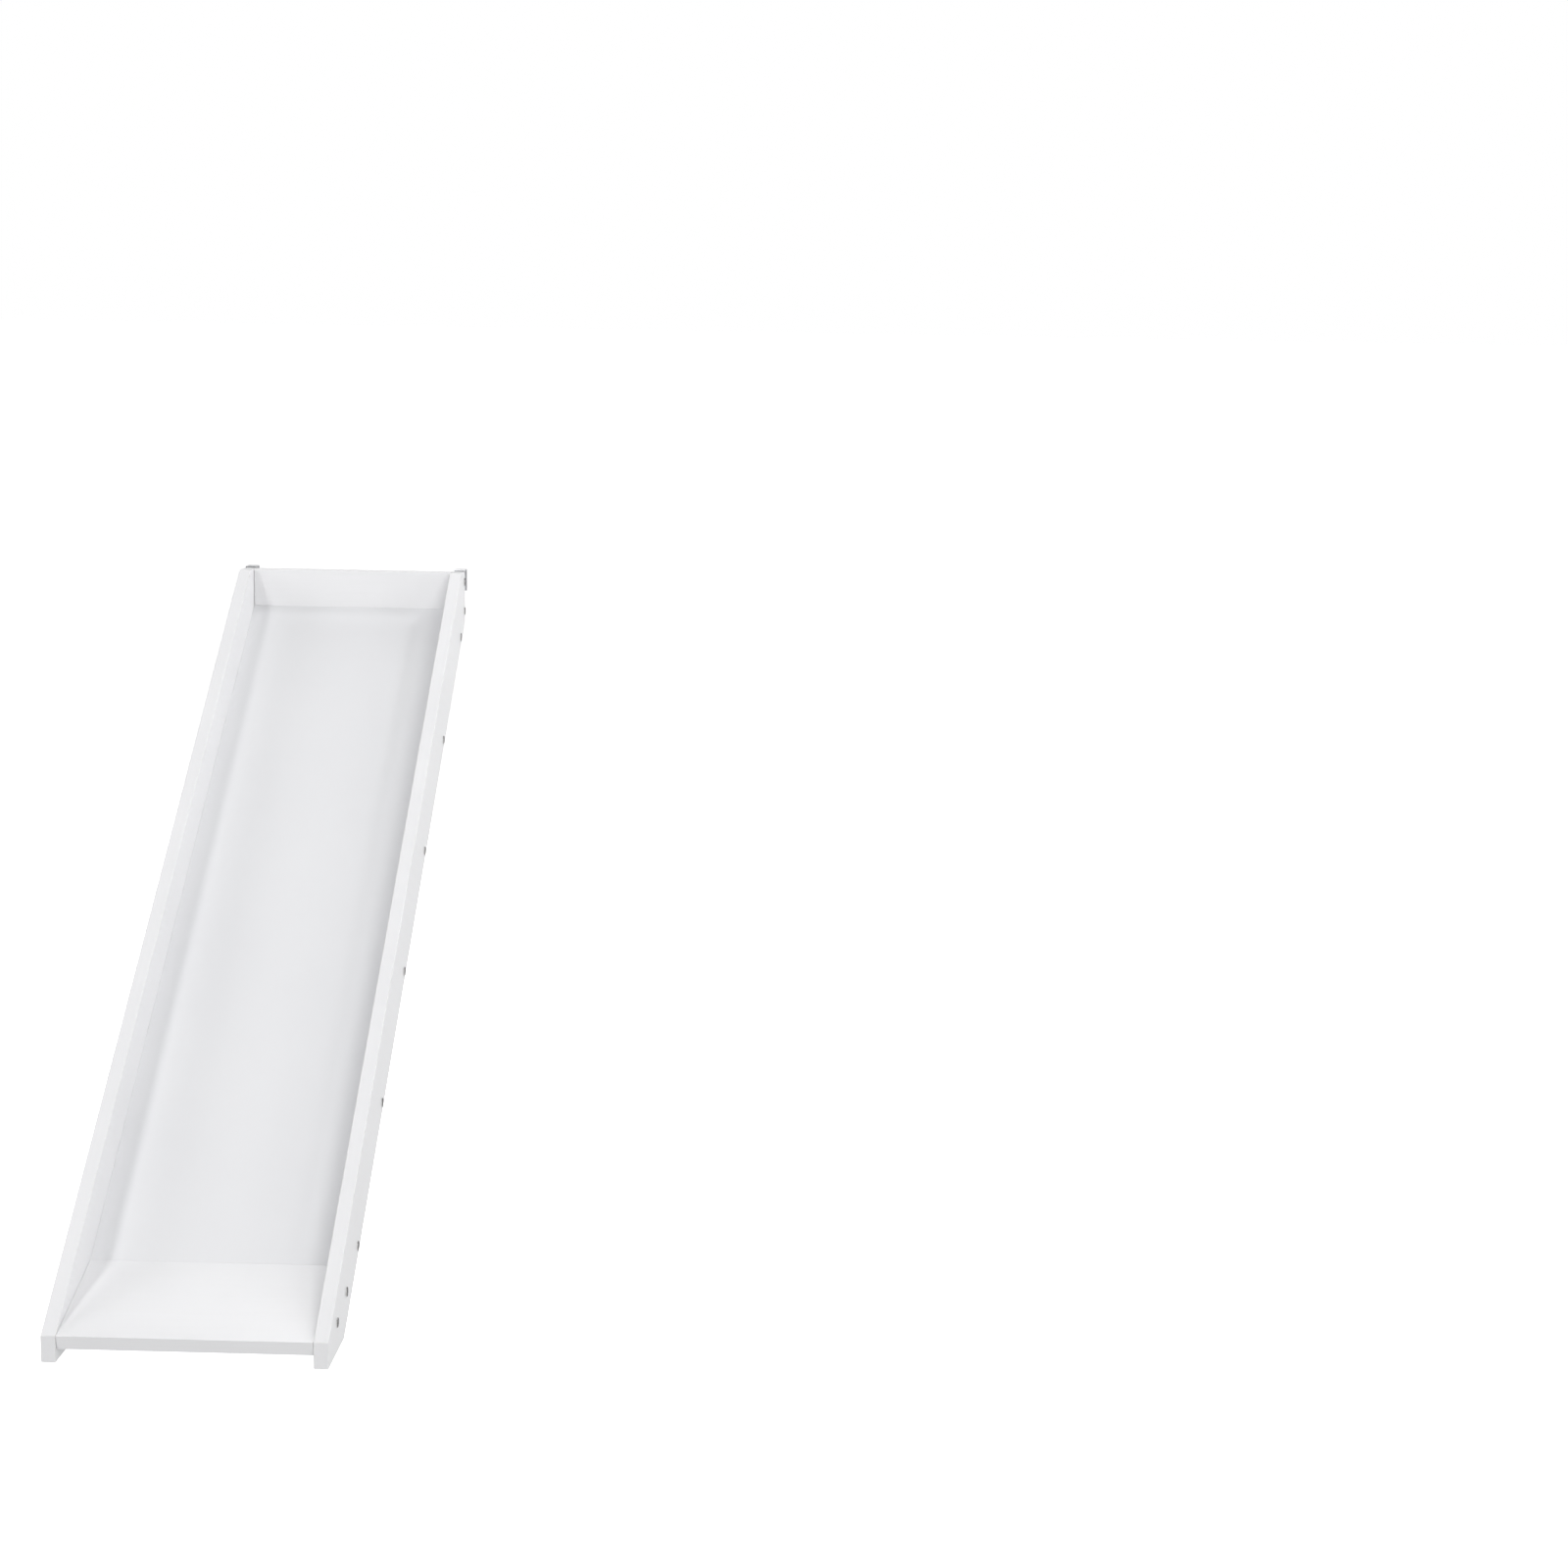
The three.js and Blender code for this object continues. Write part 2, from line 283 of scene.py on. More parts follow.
def painted_panel():
    """White paint on a smooth thin panel, faintly polished in lines down the slope."""
    material, tree, shader = new_material("painted_panel")
    cloud = noise(tree, board_position(tree), 5.0, detail=3.0)
    rubs = noise(tree, board_position(tree, (2, 120, 120)), 1.0, detail=3.0)
    roller = noise(tree, board_position(tree), 700.0, detail=1.0)
    ripple = noise(tree, board_position(tree, (8, 20, 20)), 1.0, detail=1.0)

    colour = blend_colours(
        tree, remap(tree, cloud, 0, 1), (0.720, 0.723, 0.738), (0.738, 0.741, 0.754)
    )
    tree.links.new(colour, shader.inputs["Base Color"])
    tree.links.new(remap(tree, rubs, 0.30, 0.40), shader.inputs["Roughness"])
    add_bump(tree, shader, [(ripple, 0.0001), (roller, 0.000008)])
    return material


def rolled_steel():
    """Zinc-plated strip steel with fine lines along the strip, where the rollers ran."""
    material, tree, shader = new_material("steel_hook")
    lines = noise(tree, board_position(tree, (30, 1400, 1400)), 1.0, detail=4.0, roughness=0.6)
    stains = noise(tree, board_position(tree), 220.0, detail=2.0)
    colour = blend_colours(
        tree, remap(tree, stains, 0, 1), (0.58, 0.585, 0.60), (0.70, 0.705, 0.72)
    )
    tree.links.new(colour, shader.inputs["Base Color"])
    tree.links.new(remap(tree, lines, 0.29, 0.43), shader.inputs["Roughness"])
    shader.inputs["Metallic"].default_value = 1.0
    add_bump(tree, shader, [(lines, 0.00001)])
    return material


def plated_bolt():
    """Bright nickel plate. The head's flat face is darkened as a painted reflection of dim
    surroundings, and the pressed socket is darkened as painted shade inside the recess.
    """
    material, tree, shader = new_material("nickel_bolt")
    stains = remap(tree, noise(tree, board_position(tree), 260.0, detail=3.0), 0, 1)
    turning = noise(tree, board_position(tree), 1800.0, detail=2.0)
    bright = blend_colours(tree, stains, (0.84, 0.83, 0.82), (0.92, 0.91, 0.90))
    # Painted reflection and painted shade: this darker colour goes on the head's flat face in place
    # of a reflection of dim surroundings, and inside the socket in place of its shade.
    painted_reflection_and_shade_colour = blend_colours(tree, stains, (0.28, 0.28, 0.285), (0.36, 0.36, 0.365))
    colour = blend_colours(tree, wear_and_painted_light_mask(tree), bright, painted_reflection_and_shade_colour)
    tree.links.new(colour, shader.inputs["Base Color"])
    # The same faces also reflect less, which deepens that painted reflection and painted shade.
    painted_reflection_dimming = blend_colours(tree, wear_and_painted_light_mask(tree), (1, 1, 1), (0.4, 0.4, 0.4))
    tree.links.new(painted_reflection_dimming, shader.inputs["Specular Tint"])
    tree.links.new(remap(tree, turning, 0.18, 0.30), shader.inputs["Roughness"])
    shader.inputs["Metallic"].default_value = 1.0
    add_bump(tree, shader, [(turning, 0.000006)])
    return material


def spangled_zinc():
    """Galvanised steel: pale crystals a few millimetres across, each a little different."""
    material, tree, shader = new_material("zinc_nut")
    crystals = tree.nodes.new("ShaderNodeTexVoronoi")
    crystals.inputs["Scale"].default_value = 420.0
    tree.links.new(board_position(tree), crystals.inputs["Vector"])
    shade = tree.nodes.new("ShaderNodeSeparateColor")
    tree.links.new(crystals.outputs["Color"], shade.inputs["Color"])
    scratches = noise(tree, board_position(tree), 1500.0, detail=3.0)
    colour = blend_colours(tree, shade.outputs["Red"], (0.50, 0.51, 0.53), (0.62, 0.63, 0.65))
    tree.links.new(colour, shader.inputs["Base Color"])
    tree.links.new(
        remap(tree, shade.outputs["Green"], 0.34, 0.50, 0, 1), shader.inputs["Roughness"]
    )
    shader.inputs["Metallic"].default_value = 1.0
    add_bump(tree, shader, [(scratches, 0.00001)])
    return material


def pale_floor():
    """A pale translucent studio floor, softly lit from within and seen only from above."""
    material, tree, shader = new_material("studio_floor")
    place = tree.nodes.new("ShaderNodeTexCoord").outputs["Object"]
    colour = blend_colours(
        tree, remap(tree, noise(tree, place, 0.8), 0, 1), (0.93, 0.93, 0.93), (0.95, 0.95, 0.95)
    )
    tree.links.new(colour, shader.inputs["Base Color"])
    tree.links.new(colour, shader.inputs["Emission Color"])
    shader.inputs["Emission Strength"].default_value = FLOOR_GLOW
    shader.inputs["Roughness"].default_value = 0.9
    shader.inputs["Specular IOR Level"].default_value = 0.2

    from_below = tree.nodes.new("ShaderNodeNewGeometry").outputs["Backfacing"]
    clear = tree.nodes.new("ShaderNodeBsdfTransparent")
    surface = tree.nodes.new("ShaderNodeMixShader")
    tree.links.new(from_below, surface.inputs["Fac"])
    tree.links.new(shader.outputs["BSDF"], surface.inputs[1])
    tree.links.new(clear.outputs["BSDF"], surface.inputs[2])
    tree.links.new(surface.outputs["Shader"], tree.nodes["Material Output"].inputs["Surface"])
    return material


MATERIALS = {
    "painted_pine": painted_pine(),
    "painted_panel": painted_panel(),
    "nickel_bolt": plated_bolt(),
    "zinc_nut": spangled_zinc(),
    "steel_hook": rolled_steel(),
}


# ---- Solids in mesh code ----
def solid_from(points_by_ring):
    """A closed mesh through rings of points, capped at both ends."""
    mesh = bmesh.new()
    rings = [[mesh.verts.new(point) for point in ring] for ring in points_by_ring]
    count = len(rings[0])
    for lower, upper in zip(rings, rings[1:]):
        for i in range(count):
            j = (i + 1) % count
            mesh.faces.new((lower[i], lower[j], upper[j], upper[i]))
    mesh.faces.new(reversed(rings[0]))
    mesh.faces.new(rings[-1])
    bmesh.ops.recalc_face_normals(mesh, faces=mesh.faces)
    return mesh


def round_edges(mesh, radius, segments=3):
    bmesh.ops.bevel(
        mesh,
        geom=mesh.edges[:],
        offset=radius,
        offset_type="OFFSET",
        segments=segments,
        profile=0.5,
        affect="EDGES",
    )


def carried_along_x(outline, from_x, to_x):
    """An outline in the YZ plane carried from one x to another."""
    return solid_from([[(x, y, z) for y, z in outline] for x in (from_x, to_x)])


def turned(profile, sides=32):
    """A turned part about the Z axis, from (radius, z) points between its two ends."""
    angles = [math.tau * i / sides for i in range(sides)]
    return solid_from(
        [[(radius * math.cos(a), radius * math.sin(a), z) for a in angles] for radius, z in profile]
    )


def pointing(direction):
    """The turn that points +Z in a direction."""
    return Vector(direction).to_track_quat("Z", "Y").to_matrix().to_4x4()


def placed(mesh, matrix):
    bmesh.ops.transform(mesh, matrix=matrix, verts=mesh.verts)
    return mesh


def drill(radius, start, end):
    """A round cutter between two points."""
    start, end = Vector(start), Vector(end)
    shaft = turned([(radius, 0), (radius, (end - start).length)])
    return placed(shaft, Matrix.Translation(start) @ pointing(end - start))


def to_object(mesh, name):
    data = bpy.data.meshes.new(name)
    mesh.to_mesh(data)
    mesh.free()
    piece = bpy.data.objects.new(name, data)
    scene.collection.objects.link(piece)
    return piece


def discard(piece):
    data = piece.data
    bpy.data.objects.remove(piece)
    bpy.data.meshes.remove(data)


def cut_mesh(mesh, cutters):
    """The mesh data left after the cutters are taken out of it."""
    blank = to_object(mesh, "blank")
    joined = bmesh.new()
    for cutter in cutters:
        scratch = bpy.data.meshes.new("cutter")
        cutter.to_mesh(scratch)
        cutter.free()
        joined.from_mesh(scratch)
        bpy.data.meshes.remove(scratch)
    if cutters:
        tool = to_object(joined, "tool")
        boolean = blank.modifiers.new("cut", "BOOLEAN")
        boolean.operation = "DIFFERENCE"
        boolean.solver = "EXACT"
        boolean.use_self = True
        boolean.object = tool
    depsgraph = bpy.context.evaluated_depsgraph_get()
    result = bpy.data.meshes.new_from_object(blank.evaluated_get(depsgraph))
    if cutters:
        discard(tool)
    discard(blank)
    return result


def mark_wear_and_painted_light(data, test):
    """Gives every face 1 in wear_and_painted_light where the test holds, and 0 elsewhere, for its
    material: rubbed edges on boards, and painted reflection and painted shade on bolts.
    """
    wear_and_painted_light = data.attributes.new("wear_and_painted_light", "FLOAT", "FACE")
    for face in data.polygons:
        wear_and_painted_light.data[face.index].value = float(test(face))


def mark_board_position(data, along, shift):
    """Stores each vertex's place on its own board, with the grain's direction first.

    The shift gives every piece its own stretch of the grain.
    """
    place = data.attributes.new("board_position", "FLOAT_VECTOR", "POINT")
    order = {"X": (0, 1, 2), "Y": (1, 0, 2), "Z": (2, 0, 1)}[along]
    for vertex in data.vertices:
        place.data[vertex.index].vector = [vertex.co[i] + shift for i in order]


def finished_piece(name, data, matrix, slot, along="X"):
    """Puts mesh data in place as the piece that stands for the CAD node of the same name."""
    mark_board_position(data, along, shift=GRAIN_SHIFT * len(bpy.data.objects))
    data.transform(matrix)
    data.polygons.foreach_set("use_smooth", [True] * len(data.polygons))
    data.set_sharp_from_angle(angle=math.radians(SHARP_ANGLE))
    data.materials.clear()
    data.materials.append(MATERIALS[slot])
    piece = bpy.data.objects.new(f"{name}_look", data)
    scene.collection.objects.link(piece)
    shading = piece.modifiers.new("even_shading", "WEIGHTED_NORMAL")
    shading.keep_sharp = True
    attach(piece, "root")
    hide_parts(name)


def outline_directions(outline):
    """The directions that a board's flat faces look in: along X, and square to each side."""
    ways = [Vector((1, 0, 0))]
    for (y, z), (next_y, next_z) in zip(outline, outline[1:] + outline[:1]):
        ways.append(Vector((0, next_z - z, y - next_y)).normalized())
    return ways


def wooden_board(
    name, outline, from_x, to_x, matrix, cutters, rounding, along, slot="painted_pine"
):
    blank = carried_along_x(outline, from_x, to_x)
    round_edges(blank, rounding)
    data = cut_mesh(blank, cutters)
    flat_ways = outline_directions(outline)

    def is_rounded(face):
        return all(abs(face.normal.dot(way)) < FLAT_FACING for way in flat_ways)

    mark_wear_and_painted_light(data, is_rounded)
    finished_piece(name, data, matrix, slot, along)


# ---- Cross boards: landing board, battens and head board ----
def bolt_hole(side, y, z):
    inner_end = OUTER_HALF - BOLT_LENGTH - HOLE_PAST_BOLT
    return drill(
        BOLT_RADIUS + HOLE_CLEARANCE, (side * inner_end, y, z), (side * 2 * OUTER_HALF, y, z)
    )


def softened_hole(radius, mouth, inward, depth):
    """A blind hole's cutter whose mouth is widened a little, as paint and sanding leave it."""
    soft = 0.0005
    profile = [(radius + 4 * soft, -3 * soft), (radius, soft), (radius, depth)]
    return placed(turned(profile), Matrix.Translation(mouth) @ pointing(inward))


def nut_pocket(side, y, z, lower_face):
    depth = z + NUT_LENGTH / 2 + GAP - lower_face
    mouth = (side * (INNER_HALF - NUT_SETBACK), y, lower_face)
    return softened_hole(NUT_RADIUS + HOLE_CLEARANCE, mouth, (0, 0, 1), depth)


def end_holes(y, z, lower_face):
    cutters = []
    for side in SIDES.values():
        cutters.append(bolt_hole(side, y, z))
        cutters.append(nut_pocket(side, y, z, lower_face))
    return cutters


def cross_board(name, outline, matrix, fixings, rounding):
    lower_face = min(z for y, z in outline)
    cutters = []
    for fixing in fixings:
        spot = node_in(matrix, f"{fixing}_bolt_left")
        cutters += end_holes(spot.y, spot.z, lower_face)
    reach = INNER_HALF - GAP
    wooden_board(name, outline, -reach, reach, matrix, cutters, rounding, along="X")


def add_landing_board():
    length = joint_run / math.cos(landing_slope) - JOINT_GAP / 2
    outline = [(0, 0), (0, -BOARD), (length + BOARD * mitre, -BOARD), (length, 0)]
    cross_board("landing_board", outline, landing, ["landing_1", "landing_2"], JOINT_ROUNDING)


def add_battens():
    for i in range(1, BATTEN_COUNT + 1):
        middle = node_in(incline, f"batten_{i}")
        low, high = middle.y - BATTEN_WIDTH / 2, middle.y + BATTEN_WIDTH / 2
        bottom, top = middle.z - BOARD / 2, middle.z + BOARD / 2
        outline = [(low, top), (low, bottom), (high, bottom), (high, top)]
        cross_board(f"batten_{i}", outline, incline, [f"batten_{i}"], BOARD_ROUNDING)


def add_head_board():
    """Built lying on its back: its frame's +Z faces down the slide."""
    low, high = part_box("head_board")
    lying = Matrix.Translation((0, low.y, high.z)) @ Matrix.Rotation(math.pi / 2, 4, "X")
    height = high.z - low.z
    outline = [(0, 0), (-height, 0), (-height, -BOARD), (0, -BOARD)]
    cross_board("head_board", outline, lying, ["head_1", "head_2"], BOARD_ROUNDING)


# ---- Sliding panel ----
def plumb_at(y, z):
    """How far up the incline a point at depth z meets the upright plane at y."""
    return (y - foot_y + z * math.sin(slope)) / math.cos(slope)


def add_sliding_panel():
    top, bottom = -PANEL_DEPTH, -PANEL_DEPTH - PANEL_THICKNESS
    low_end = joint.y + JOINT_GAP / 2
    head_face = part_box("head_board")[0].y - GAP
    outline = [
        (low_end, top),
        (low_end - PANEL_THICKNESS * mitre, bottom),
        (plumb_at(head_face, bottom), bottom),
        (plumb_at(head_face, top), top),
    ]
    reach = INNER_HALF + GROOVE_DEPTH - HOLE_CLEARANCE
    wooden_board(
        "sliding_panel", outline, -reach, reach, incline, [], JOINT_ROUNDING, "Y", "painted_panel"
    )


# ---- Side rails ----
def panel_groove(side):
    height = PANEL_THICKNESS + 2 * GAP
    past_top_end = 2.0
    low, high = joint.y - PANEL_THICKNESS * mitre - GAP, past_top_end
    middle = -PANEL_DEPTH - PANEL_THICKNESS / 2
    section = [
        (low, middle - height / 2),
        (high, middle - height / 2),
        (high, middle + height / 2),
        (low, middle + height / 2),
    ]
    edges = sorted((side * (INNER_HALF - GROOVE_DEPTH), side * (INNER_HALF + GROOVE_DEPTH)))
    return carried_along_x(section, *edges)


def rail_bolt_holes(side):
    cutters = []
    for node in frame["nodes"]:
        if node.endswith("_bolt_left"):
            spot = node_in(incline, node)
            start = (side * (INNER_HALF - BOARD), spot.y, spot.z)
            end = (side * (OUTER_HALF + BOARD), spot.y, spot.z)
            cutters.append(drill(BOLT_RADIUS + HOLE_CLEARANCE, start, end))
    return cutters


def screw_holes(side_name):
    cutters = []
    for i in (1, 2):
        spot = centre(f"hook_screw_{side_name}_{i}")
        start = incline.inverted() @ Vector((spot.x, end_y - SCREW_LENGTH, spot.z))
        end = incline.inverted() @ Vector((spot.x, end_y + SCREW_LENGTH, spot.z))
        cutters.append(drill(SCREW_RADIUS + HOLE_CLEARANCE, start, end))
    return cutters


def rail_outline():
    drop = RAIL_DEPTH / math.cos(slope)
    run = end_y - foot_y
    corners = [
        (foot_y, 0),
        (foot_y + (drop - FOOT_HEIGHT) / math.tan(slope), 0),
        (end_y, FOOT_HEIGHT + run * math.tan(slope) - drop),
        (end_y, top_z),
        (foot_y + (top_z - FOOT_HEIGHT) / math.tan(slope), top_z),
        (foot_y, FOOT_HEIGHT),
    ]
    to_incline = incline.inverted()
    return [tuple((to_incline @ Vector((0, y, z))).yz) for y, z in corners]


def add_side_rails():
    for side_name, side in SIDES.items():
        from_x, to_x = sorted((side * INNER_HALF, side * OUTER_HALF))
        cutters = [panel_groove(side)] + rail_bolt_holes(side) + screw_holes(side_name)
        name = f"side_rail_{side_name}"
        wooden_board(name, rail_outline(), from_x, to_x, incline, cutters, BOARD_ROUNDING, "Y")


# ---- Bolts and barrel nuts ----
def hexagon(width, low_z, high_z):
    """A six-sided cutter along Z, with its width measured over its flats."""
    radius = width / 2 / math.cos(math.pi / 6)
    return turned([(radius, low_z), (radius, high_z)], sides=6)


def bolt_mesh():
    """A furniture bolt along Z, its flat head's underside at z = 0: bevelled rim, hex socket."""
    soft = 0.0001
    profile = [
        (BOLT_RADIUS - BOLT_TIP, -BOLT_LENGTH),
        (BOLT_RADIUS, -BOLT_LENGTH + BOLT_TIP),
        (BOLT_RADIUS, 0),
        (HEAD_RADIUS - soft, 0),
        (HEAD_RADIUS, soft),
        (HEAD_RADIUS, HEAD_HEIGHT - RIM_HEIGHT - soft),
        (HEAD_RADIUS - soft, HEAD_HEIGHT - RIM_HEIGHT),
        (HEAD_RADIUS - RIM_WIDTH + soft, HEAD_HEIGHT - soft / 2),
        (HEAD_RADIUS - RIM_WIDTH, HEAD_HEIGHT),
    ]
    socket_floor = HEAD_HEIGHT - SOCKET_DEPTH
    overshoot = 0.001
    socket = hexagon(SOCKET_WIDTH, socket_floor, HEAD_HEIGHT + overshoot)
    mouth_radius = SOCKET_WIDTH * 0.62
    mouth_depth = 0.0003
    mouth = turned(
        [
            (SOCKET_WIDTH / 2, HEAD_HEIGHT - mouth_depth),
            (mouth_radius, HEAD_HEIGHT),
            (mouth_radius + overshoot, HEAD_HEIGHT + overshoot),
        ]
    )
    data = cut_mesh(turned(profile), [socket, mouth])

    def takes_painted_light(face):
        """The head's flat face, which takes a painted reflection, and the inside of its socket,
        which takes painted shade.
        """
        on_flat = face.center.z > HEAD_HEIGHT - soft / 4 and face.normal.z > 0.98
        in_socket = socket_floor - soft < face.center.z < HEAD_HEIGHT - mouth_depth
        return on_flat or (in_socket and face.center.xy.length < mouth_radius)

    # The marked faces get painted reflection on the flat face and painted shade in the socket, in
    # the bolt's material.
    mark_wear_and_painted_light(data, takes_painted_light)
    return data


def nut_mesh():
    """A barrel nut along Z: a cross hole for the bolt, and the slot that lines it up below."""
    soft = 0.0005
    half = NUT_LENGTH / 2
    profile = [
        (NUT_RADIUS - soft, -half),
        (NUT_RADIUS, -half + soft),
        (NUT_RADIUS, half - soft),
        (NUT_RADIUS - soft, half),
    ]
    thread = drill(BOLT_RADIUS + HOLE_CLEARANCE, (-2 * NUT_RADIUS, 0, 0), (2 * NUT_RADIUS, 0, 0))
    section = [
        (-2 * NUT_RADIUS, -half - NUT_SLOT_DEPTH),
        (2 * NUT_RADIUS, -half - NUT_SLOT_DEPTH),
        (2 * NUT_RADIUS, -half + NUT_SLOT_DEPTH),
        (-2 * NUT_RADIUS, -half + NUT_SLOT_DEPTH),
    ]
    slot = carried_along_x(section, -NUT_SLOT / 2, NUT_SLOT / 2)
    return cut_mesh(turned(profile), [thread, slot])


def board_frame_of(fixing):
    """The directions of the board that a bolt and its nut are in."""
    if fixing.startswith("batten"):
        return incline
    if fixing.startswith("landing"):
        return landing
    return Matrix.Rotation(math.pi / 2, 4, "X")


def add_bolts_and_nuts():
    bolt_shape, nut_shape = bolt_mesh(), nut_mesh()
    bolts = [node for node in frame["nodes"] if "_bolt_" in node]
    for i, node in enumerate(bolts):
        side = SIDES[node.rsplit("_", 1)[1]]
        spot = centre(node)
        outward = Matrix.Rotation(side * math.pi / 2, 4, "Y")
        own_turn = Matrix.Rotation(i * BOLT_TURN, 4, "Z")
        head_at = Vector((side * (OUTER_HALF + GAP), spot.y, spot.z))
        matrix = Matrix.Translation(head_at) @ outward @ own_turn
        finished_piece(node, bolt_shape.copy(), matrix, "nickel_bolt")

        nut = node.replace("_bolt_", "_nut_")
        turn = board_frame_of(node).to_3x3().to_4x4()
        finished_piece(nut, nut_shape.copy(), Matrix.Translation(centre(nut)) @ turn, "zinc_nut")
    bpy.data.meshes.remove(bolt_shape)
    bpy.data.meshes.remove(nut_shape)


# ---- Hooks and their screws ----
def arc(centre_y, centre_z, radius, start, end, steps=8):
    points = []
    for i in range(steps + 1):
        angle = math.radians(start + (end - start) * i / steps)
        points.append((centre_y + radius * math.cos(angle), centre_z + radius * math.sin(angle)))
    return points


def hook_outline(low, high):
    inner = HOOK_BEND - HOOK_STRIP
    front, back, top = low.y, high.y, high.z
    return [
        (front, top - HOOK_FRONT_LEG),
        (front + HOOK_STRIP, top - HOOK_FRONT_LEG),
        *arc(front + HOOK_BEND, top - HOOK_BEND, inner, 180, 90),
        *arc(back - HOOK_BEND, top - HOOK_BEND, inner, 90, 0),
        (back - HOOK_STRIP, top - HOOK_BACK_LEG),
        (back, top - HOOK_BACK_LEG),
        *arc(back - HOOK_BEND, top - HOOK_BEND, HOOK_BEND, 0, 90),
        *arc(front + HOOK_BEND, top - HOOK_BEND, HOOK_BEND, 90, 180),
    ]


def countersink(spot, face_y):
    """A cutter through a hook's front leg, flared for the screw's head."""
    narrow = SCREW_RADIUS + HOLE_CLEARANCE
    wide = SCREW_HEAD_RADIUS + HOLE_CLEARANCE
    profile = [
        (narrow, -2 * HOOK_STRIP),
        (narrow, -SCREW_HEAD_HEIGHT - GAP),
        (wide, 0),
        (wide, HOOK_STRIP),
    ]
    mouth = Matrix.Translation((spot.x, face_y, spot.z))
    return placed(turned(profile), mouth @ pointing((0, 1, 0)))


def screw_mesh():
    """A countersunk wood screw along Z, its head's flat at z = 0, with a cross recess."""
    soft = 0.0002
    profile = [
        (soft, -SCREW_LENGTH),
        (SCREW_RADIUS * 0.8, -SCREW_LENGTH + SCREW_TIP),
        (SCREW_RADIUS, -SCREW_LENGTH + SCREW_TAPER),
        (SCREW_RADIUS, -SCREW_HEAD_HEIGHT),
        (SCREW_HEAD_RADIUS - soft / 2, -1.5 * soft),
        (SCREW_HEAD_RADIUS, -soft),
        (SCREW_HEAD_RADIUS - soft, 0),
    ]
    arm, width, depth, overshoot = 0.0021, 0.0004, 0.0016, 0.0005
    share_at_bottom, share_past_head = 0.45, 1.12
    recess = []
    for long_x, long_y in ((arm, width), (width, arm)):
        rings = []
        for z, size in ((-depth, share_at_bottom), (overshoot, share_past_head)):
            x, y = max(long_x * size, width), max(long_y * size, width)
            rings.append([(-x, -y, z), (x, -y, z), (x, y, z), (-x, y, z)])
        recess.append(solid_from(rings))
    return cut_mesh(turned(profile), recess)


def add_hooks():
    screw_shape = screw_mesh()
    facing_back = pointing((0, 1, 0))
    for side_name in SIDES:
        name = f"hook_{side_name}"
        low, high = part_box(name)
        face_y = low.y + HOOK_STRIP
        screws = [f"hook_screw_{side_name}_{i}" for i in (1, 2)]
        cutters = [countersink(centre(screw), face_y) for screw in screws]
        strip = carried_along_x(hook_outline(low, high), low.x, high.x)
        round_edges(strip, STEEL_ROUNDING, segments=2)
        finished_piece(name, cut_mesh(strip, cutters), upright, "steel_hook", along="Z")
        for i, screw in enumerate(screws):
            spot = centre(screw)
            own_turn = Matrix.Rotation(FIRST_SCREW_TURN + i * SCREW_TURN, 4, "Z")
            matrix = Matrix.Translation((spot.x, face_y, spot.z)) @ facing_back @ own_turn
            finished_piece(screw, screw_shape.copy(), matrix, "zinc_nut")
    bpy.data.meshes.remove(screw_shape)


# ---- Stage: floor, light and camera ----
def add_floor():
    """The floor is only shown to the camera: the world below it stands in for its light."""
    mesh = bmesh.new()
    bmesh.ops.create_grid(mesh, x_segments=1, y_segments=1, size=FLOOR_HALF_WIDTH)
    floor = to_object(mesh, "floor")
    floor.data.materials.append(pale_floor())
    floor.visible_diffuse = False
    floor.visible_glossy = False
    floor.visible_shadow = False


def add_world():
    """White at eye level, where it is the background, and dimmer above and below.

    Each stop is an elevation in degrees and the brightness there.
    """
    world = bpy.data.worlds.new("studio")
    world.use_nodes = True
    tree = world.node_tree
    split = tree.nodes.new("ShaderNodeSeparateXYZ")
    tree.links.new(tree.nodes.new("ShaderNodeTexCoord").outputs["Generated"], split.inputs[0])
    height = remap(tree, split.outputs["Z"], 0, 1, -1, 1)
    levels = tree.nodes.new("ShaderNodeValToRGB")
    tree.links.new(height, levels.inputs["Fac"])
    stops = [
        (-4, WORLD_BELOW),
        (-3, WORLD_AT_EYE_LEVEL),
        (7, WORLD_AT_EYE_LEVEL),
        (16, WORLD_ABOVE),
    ]
    ramp = levels.color_ramp.elements
    while len(ramp) < len(stops):
        ramp.new(1.0)
    for stop, (elevation, level) in zip(ramp, stops):
        stop.position = (1 + math.sin(math.radians(elevation))) / 2
        stop.color = (level, level, level, 1)
    tree.links.new(levels.outputs["Color"], tree.nodes["Background"].inputs["Color"])
    scene.world = world


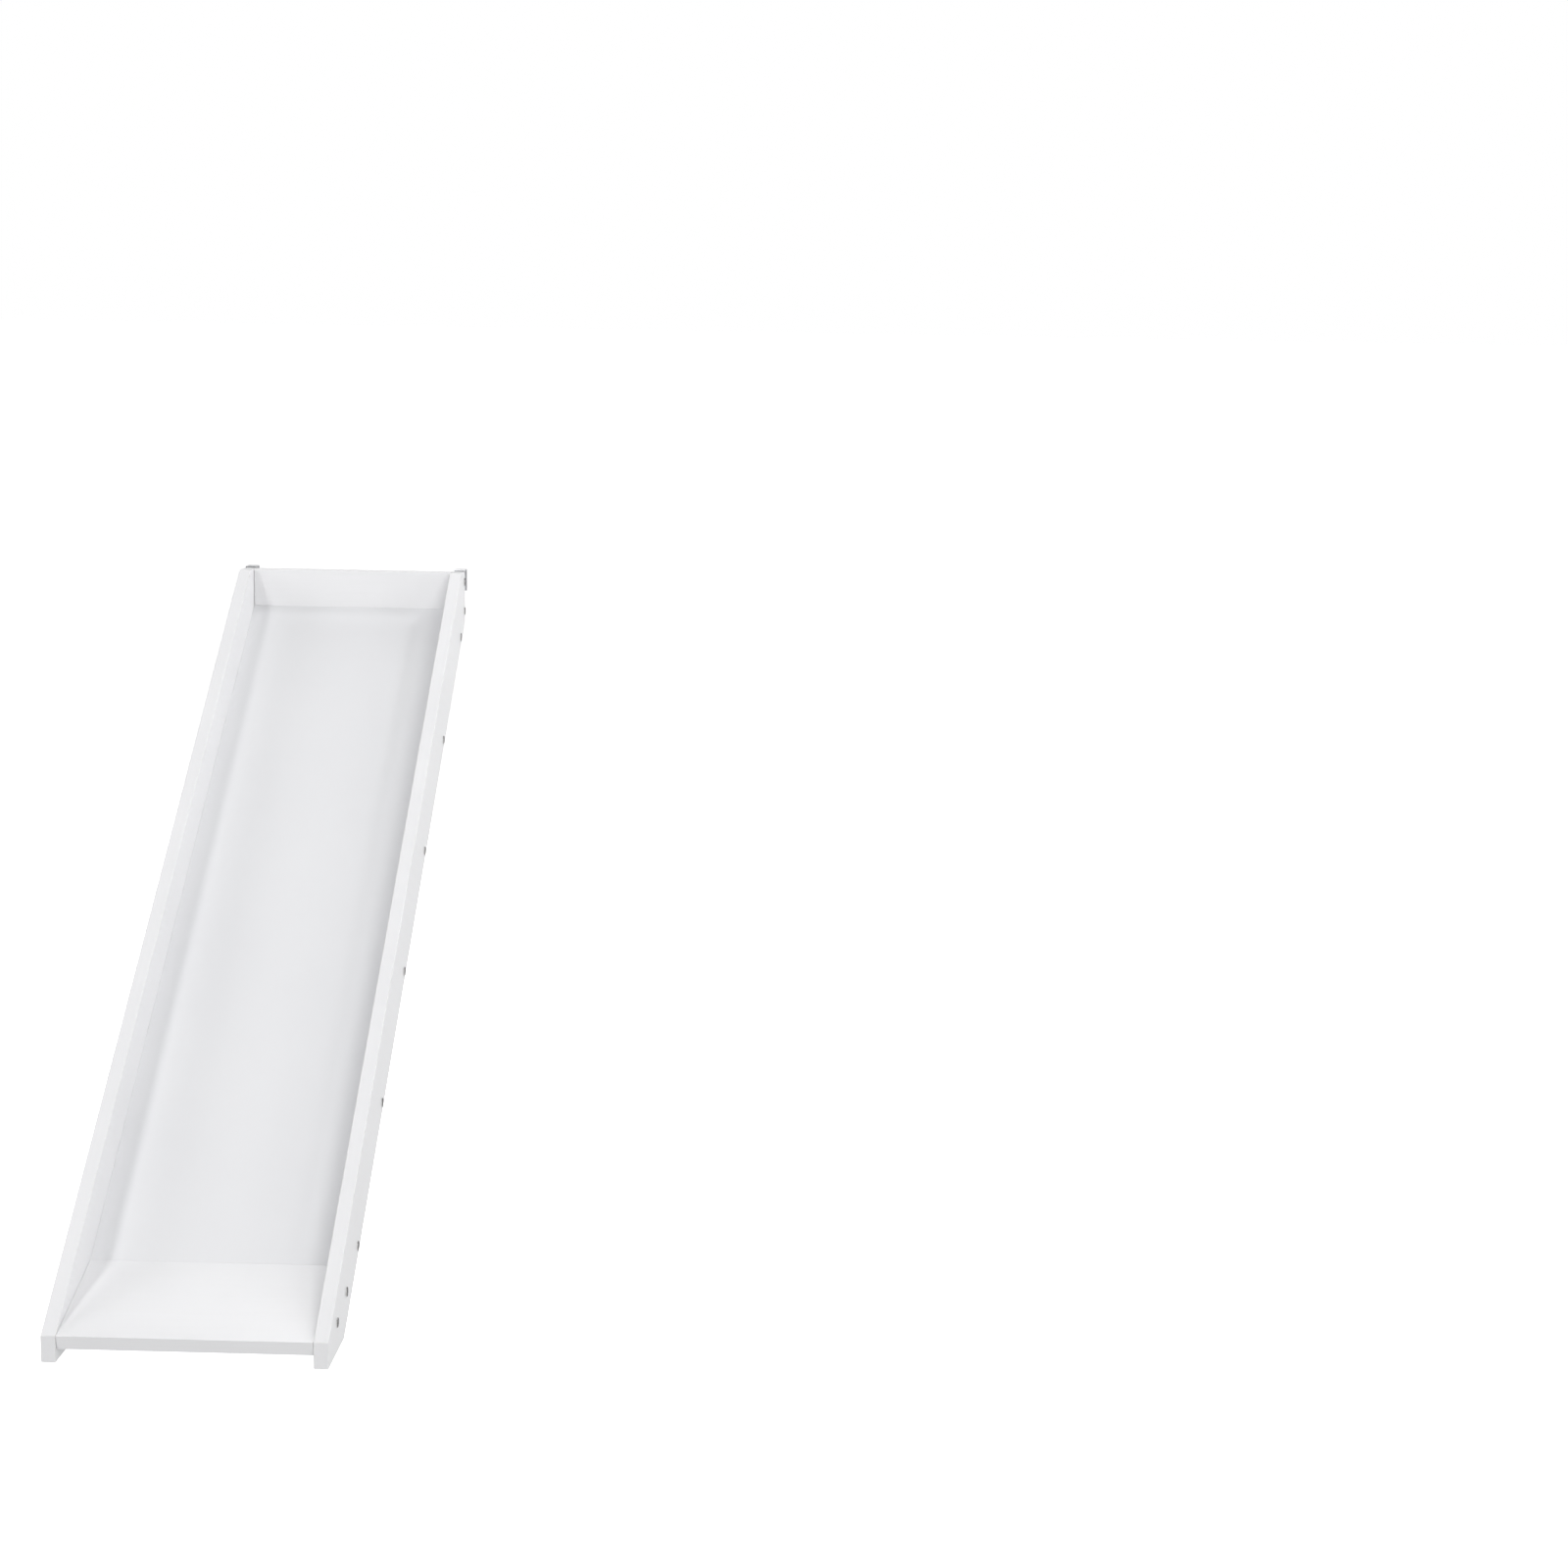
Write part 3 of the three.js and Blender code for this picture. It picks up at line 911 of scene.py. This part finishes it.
def add_softbox(name, azimuth, elevation, size, power):
    """A round softbox aimed at the slide's middle. Azimuth 0 is at the foot, 90 to its right."""
    lamp = bpy.data.lights.new(name, "AREA")
    lamp.shape = "DISK"
    lamp.size = size
    lamp.energy = power
    holder = bpy.data.objects.new(name, lamp)
    turn = Matrix.Rotation(math.radians(azimuth), 4, "Z")
    raise_up = Matrix.Rotation(math.radians(90 - elevation), 4, "X")
    aim = Matrix.Translation((0, 0, top_z / 2)) @ turn @ raise_up
    holder.matrix_world = aim @ Matrix.Translation((0, 0, SOFTBOX_DISTANCE))
    holder.visible_camera = False
    scene.collection.objects.link(holder)


def add_lights():
    """Broad softboxes all round for an even white, and small ones for the crisp shadows."""
    add_softbox("front_left_light", -30, 28, 0.6, 22)
    add_softbox("front_right_light", 30, 28, 1.3, 40)
    add_softbox("left_light", -90, 28, 1.3, 34)
    add_softbox("right_light", 90, 28, 1.3, 29)
    add_softbox("back_light", 180, 46, 1.3, 22)
    add_softbox("high_left_light", -60, 60, 0.5, 7)
    add_softbox("high_back_right_light", 120, 52, 0.4, 21)


def add_camera():
    """About three metres in front of the foot, to its right, looking a little down and left."""
    lens = bpy.data.cameras.new("camera")
    lens.lens = LENS_LENGTH
    lens.sensor_width = SENSOR_WIDTH
    camera = bpy.data.objects.new("camera", lens)
    turn_left = Matrix.Rotation(math.radians(CAMERA_TURN_LEFT), 4, "Z")
    look_down = Matrix.Rotation(math.radians(90 - CAMERA_LOOK_DOWN), 4, "X")
    tilt = Matrix.Rotation(math.radians(CAMERA_TILT), 4, "Z")
    place = Matrix.Translation((CAMERA_RIGHT, foot_y - CAMERA_IN_FRONT, CAMERA_HEIGHT))
    camera.matrix_world = place @ turn_left @ look_down @ tilt
    scene.collection.objects.link(camera)
    scene.camera = camera


add_landing_board()
add_battens()
add_head_board()
add_sliding_panel()
add_side_rails()
add_bolts_and_nuts()
add_hooks()
add_floor()
add_world()
add_lights()
add_camera()
scene.view_settings.view_transform = "Standard"


bpy.context.view_layer.update()
